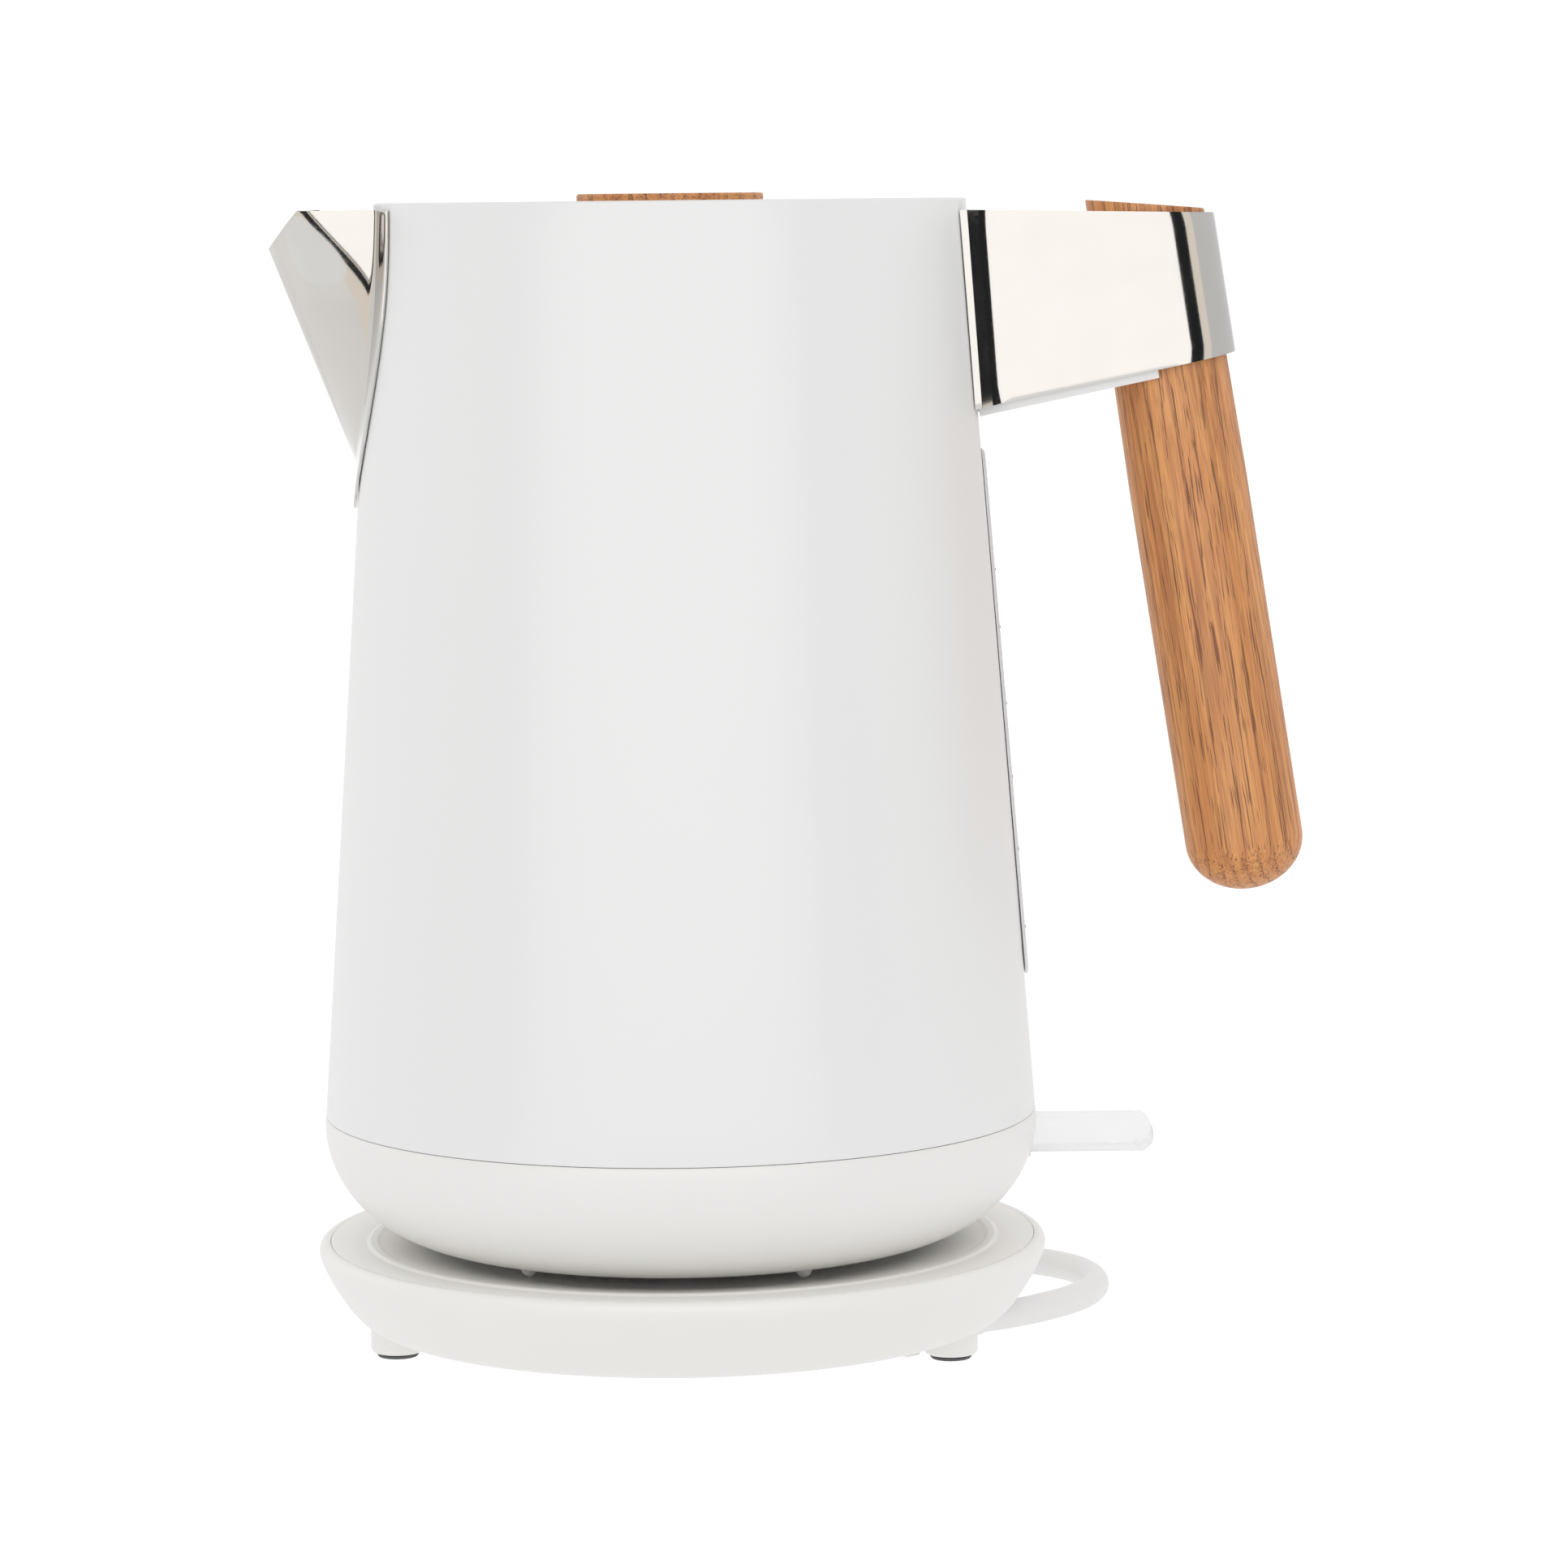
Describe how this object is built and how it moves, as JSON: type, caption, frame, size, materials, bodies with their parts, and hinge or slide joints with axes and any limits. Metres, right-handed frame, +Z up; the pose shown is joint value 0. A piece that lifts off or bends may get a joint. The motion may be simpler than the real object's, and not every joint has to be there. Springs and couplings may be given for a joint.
{
  "type": "electric kettle",
  "caption": "Cordless electric kettle with a tapered steel jug, short beak spout, oak grip and lid knob, water window and switch lever, on a round powered base with a mains cord",
  "frame": {"origin": "on the table under the middle of the kettle and its base, cord left out", "axes": "+Z up, +X towards the handle, spout towards -X, +Y towards the back, where the cord lies"},
  "size_m": [0.2221, 0.2914, 0.2513],
  "materials": {
    "white_painted_steel": "satin",
    "white_plastic": "fine satin",
    "polished_steel": "mirror polished",
    "brushed_steel": "brushed",
    "oak": "oiled",
    "clear_plastic": "clear gloss",
    "window_plastic": "translucent gloss",
    "dark_rubber": "matte",
    "silicone": "matte",
    "black_plastic": "moulded",
    "brass": "bright",
    "zinc": "zinc plated",
    "lamp": "clear",
    "cord_white": "satin"
  },
  "bodies": {
    "base": {"base_shell": "white_plastic", "base_top": "white_plastic", "base_connector": "black_plastic", "contact_ring": "brass", "contact_pin": "brass", "shutter_spring": "brushed_steel", "foot_pad_1": "dark_rubber", "foot_pad_2": "dark_rubber", "foot_pad_3": "dark_rubber", "foot_pad_4": "dark_rubber", "base_screw_1": "zinc", "base_screw_2": "zinc", "base_screw_3": "zinc", "cord_gland": "cord_white", "cord_clamp": "white_plastic", "power_cord": "cord_white", "cord_coil": "cord_white", "cord_tie": "black_plastic", "plug_boot": "cord_white", "plug_body": "cord_white", "plug_pin_live": "brass", "plug_pin_neutral": "brass", "plug_pin_earth": "brass"},
    "shutter": {"contact_shutter": "white_plastic"},
    "jug": {"jug_body": "white_painted_steel", "spout": "polished_steel", "spout_filter": "silicone", "handle_bracket": "polished_steel", "bracket_liner": "white_plastic", "handle_grip": "oak", "handle_screw_1": "zinc", "handle_screw_2": "zinc", "grip_screw": "zinc", "water_window": "window_plastic", "window_seal": "silicone", "lower_shell": "white_plastic", "shell_screw_1": "zinc", "shell_screw_2": "zinc", "shell_screw_3": "zinc", "element_plate": "brushed_steel", "element_seal": "silicone", "heating_element": "brushed_steel", "steam_tube": "white_plastic", "bimetal_disc": "brass", "thermostat_control": "black_plastic", "overcentre_spring": "brushed_steel", "indicator_lamp": "lamp", "connector_socket": "black_plastic", "switch_pin": "brushed_steel", "lid_seat": "brushed_steel"},
    "lid": {"lid_cover": "white_painted_steel", "lid_seal": "silicone", "lid_underplate": "brushed_steel", "knob_stem": "polished_steel", "lid_knob": "oak", "lid_screw": "zinc"},
    "switch": {"switch_lever": "clear_plastic"},
    "trip": {"trip_lever": "black_plastic"}
  },
  "joints": [
    {"name": "jug_swivel", "type": "hinge", "parent": "base", "child": "shutter", "pos_m": [-0.0246, 0, 0.0227], "axis": [0, 0, 1], "continuous": true},
    {"name": "jug_lift", "type": "slide", "parent": "shutter", "child": "jug", "axis": [0, 0, 1], "range_m": [0, 0.08]},
    {"name": "lid_lift", "type": "slide", "parent": "jug", "child": "lid", "axis": [0, 0, 1], "range_m": [0, 0.06]},
    {"name": "switch_press", "type": "hinge", "parent": "jug", "child": "switch", "pos_m": [0.0489, 0, 0.047], "axis": [0, 1, 0], "range_deg": [0, 12]},
    {"name": "trip_rock", "type": "hinge", "parent": "jug", "child": "trip", "pos_m": [0.0264, 0, 0.045], "axis": [0, 1, 0], "range_deg": [-11, 0]}
  ],
  "couplings": [
    {"joint": "trip_rock", "follows": "switch_press", "ratio": -0.85}
  ]
}
